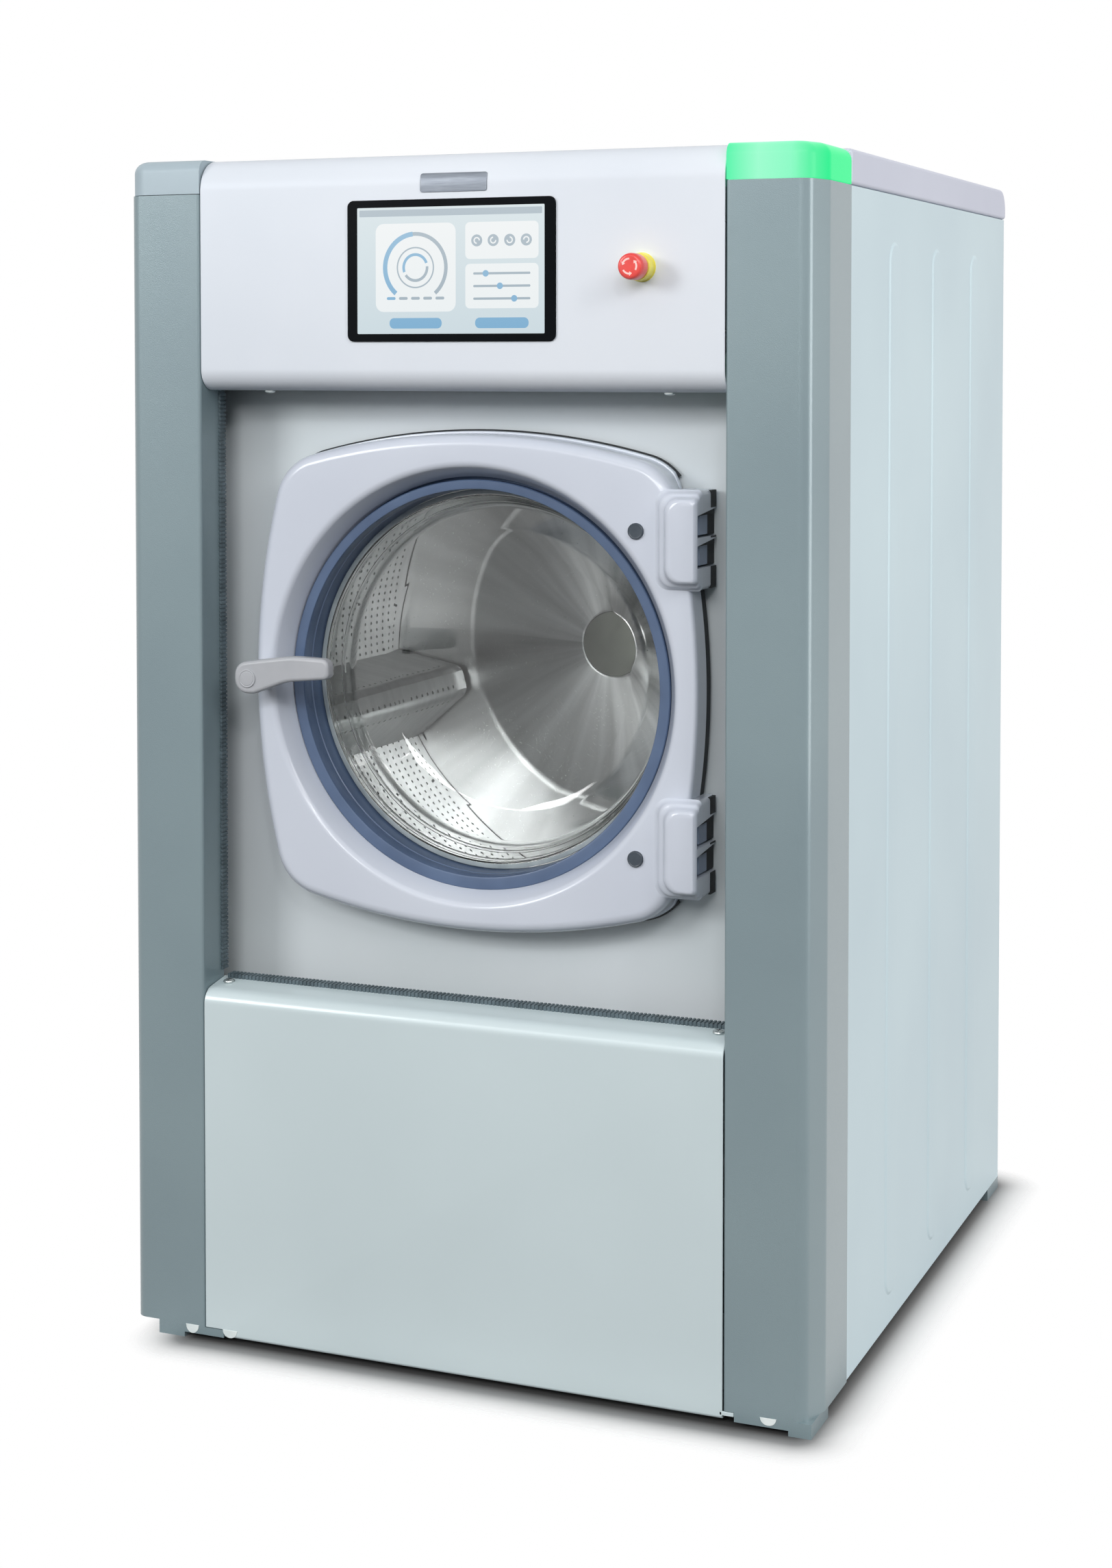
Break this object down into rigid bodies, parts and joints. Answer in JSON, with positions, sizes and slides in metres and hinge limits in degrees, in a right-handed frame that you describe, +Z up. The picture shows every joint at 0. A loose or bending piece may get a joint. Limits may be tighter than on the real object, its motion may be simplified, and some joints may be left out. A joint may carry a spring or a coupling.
{
  "type": "washer-extractor",
  "caption": "Soft-mounted commercial front-loading washer-extractor with corner columns, touchscreen panel, round glass door with lever handle and suspended drum.",
  "frame": {"origin": "centre of the bounding box on the floor under the feet", "axes": "+Z up, -Y out of the door and control panel, +X to the right as seen from the front"},
  "size_m": [0.79, 0.917, 1.292],
  "materials": {
    "column_grey": "satin textured paint",
    "panel_silver": "satin silver paint",
    "plate_grey": "satin paint",
    "lower_grey": "satin metallic paint",
    "side_pale": "satin paint",
    "lid_pale": "satin paint",
    "door_silver": "painted casting",
    "ring_blue": "satin moulding",
    "clear_glass": "polished",
    "dark_plug": "moulded",
    "handle_grey": "moulded",
    "cap_grey": "moulded",
    "bezel_black": "polished",
    "stop_yellow": "moulded",
    "stop_red": "moulded",
    "stainless": "brushed",
    "machined_steel": "machined",
    "frame_steel": "powder coat",
    "spring_steel": "powder coat",
    "casting": "as cast, painted",
    "pulley_alloy": "turned",
    "motor_grey": "painted casting",
    "black_rubber": "matte",
    "fitting_plastic": "moulded",
    "status_green": "lit diffuser",
    "screen_light": "lit display"
  },
  "bodies": {
    "cabinet": {"foot_plates": "frame_steel", "base_frame": "frame_steel", "left_column": "column_grey", "right_column": "column_grey", "left_column_cap": "cap_grey", "status_light_cap": "status_green", "side_panel_left": "side_pale", "side_panel_right": "side_pale", "top_lid": "lid_pale", "back_panel": "side_pale", "service_cover": "side_pale", "control_panel": "panel_silver", "touchscreen_bezel": "bezel_black", "touchscreen_display": "screen_light", "lower_front_panel": "lower_grey", "edge_trims": "black_rubber", "estop_collar": "stop_yellow", "water_inlet_valves": "fitting_plastic", "cable_gland": "dark_plug", "control_box": "fitting_plastic", "drain_pipe": "fitting_plastic", "suspension_springs": "spring_steel", "damper_cylinders": "frame_steel"},
    "suspended_unit": {"front_plate": "plate_grey", "tub_shell": "stainless", "tub_back_plate": "stainless", "tub_gasket": "black_rubber", "hinge_brackets": "machined_steel", "hinge_pins": "machined_steel", "door_lock": "fitting_plastic", "bearing_housing": "casting", "drive_motor": "motor_grey", "motor_bracket": "frame_steel", "drive_belt": "black_rubber", "tub_cradle_left": "frame_steel", "tub_cradle_right": "frame_steel", "damper_rods": "machined_steel", "counterweight": "casting", "drain_valve": "fitting_plastic", "drain_sleeve": "black_rubber"},
    "door": {"door_frame": "door_silver", "door_inner_ring": "ring_blue", "door_glass": "clear_glass", "door_plugs": "dark_plug"},
    "door_handle": {"handle_lever": "handle_grey", "handle_cap": "handle_grey", "latch_shaft": "machined_steel"},
    "drum": {"drum_shell": "stainless", "drum_back": "stainless", "drum_lifters": "stainless", "drum_shaft": "machined_steel", "drum_pulley": "pulley_alloy"},
    "motor_rotor": {"motor_pulley": "pulley_alloy"},
    "estop_plunger": {"estop_plunger": "stop_red"},
    "estop_head": {"estop_head": "stop_red"}
  },
  "joints": [
    {"name": "suspension_bounce", "type": "slide", "parent": "cabinet", "child": "suspended_unit", "axis": [0, 0, 1], "range_m": [-0.008, 0.008], "stiffness_N_per_m": 60000, "springref_m": 0.02884, "deforming": ["suspension_springs", "drain_sleeve"]},
    {"name": "door_swing", "type": "hinge", "parent": "suspended_unit", "child": "door", "pos_m": [0.246, -0.3775, 0.733], "axis": [0, 0, 1], "range_deg": [0, 115]},
    {"name": "handle_turn", "type": "hinge", "parent": "door", "child": "door_handle", "pos_m": [-0.243, -0.3835, 0.732], "axis": [0, -1, 0], "range_deg": [0, 60]},
    {"name": "drum_spin", "type": "hinge", "parent": "suspended_unit", "child": "drum", "pos_m": [0, 0, 0.731], "axis": [0, 1, 0], "continuous": true},
    {"name": "motor_spin", "type": "hinge", "parent": "suspended_unit", "child": "motor_rotor", "pos_m": [0.15, 0.25, 0.3], "axis": [0, 1, 0], "continuous": true},
    {"name": "estop_press", "type": "slide", "parent": "cabinet", "child": "estop_plunger", "axis": [0, 1, 0], "range_m": [0, 0.004], "stiffness_N_per_m": 600},
    {"name": "estop_twist", "type": "hinge", "parent": "estop_plunger", "child": "estop_head", "pos_m": [0.2105, -0.4525, 1.169], "axis": [0, 1, 0], "range_deg": [0, 35], "stiffness_Nm_per_rad": 0.05}
  ],
  "couplings": [
    {"joint": "motor_spin", "follows": "drum_spin", "ratio": 4.8529}
  ]
}
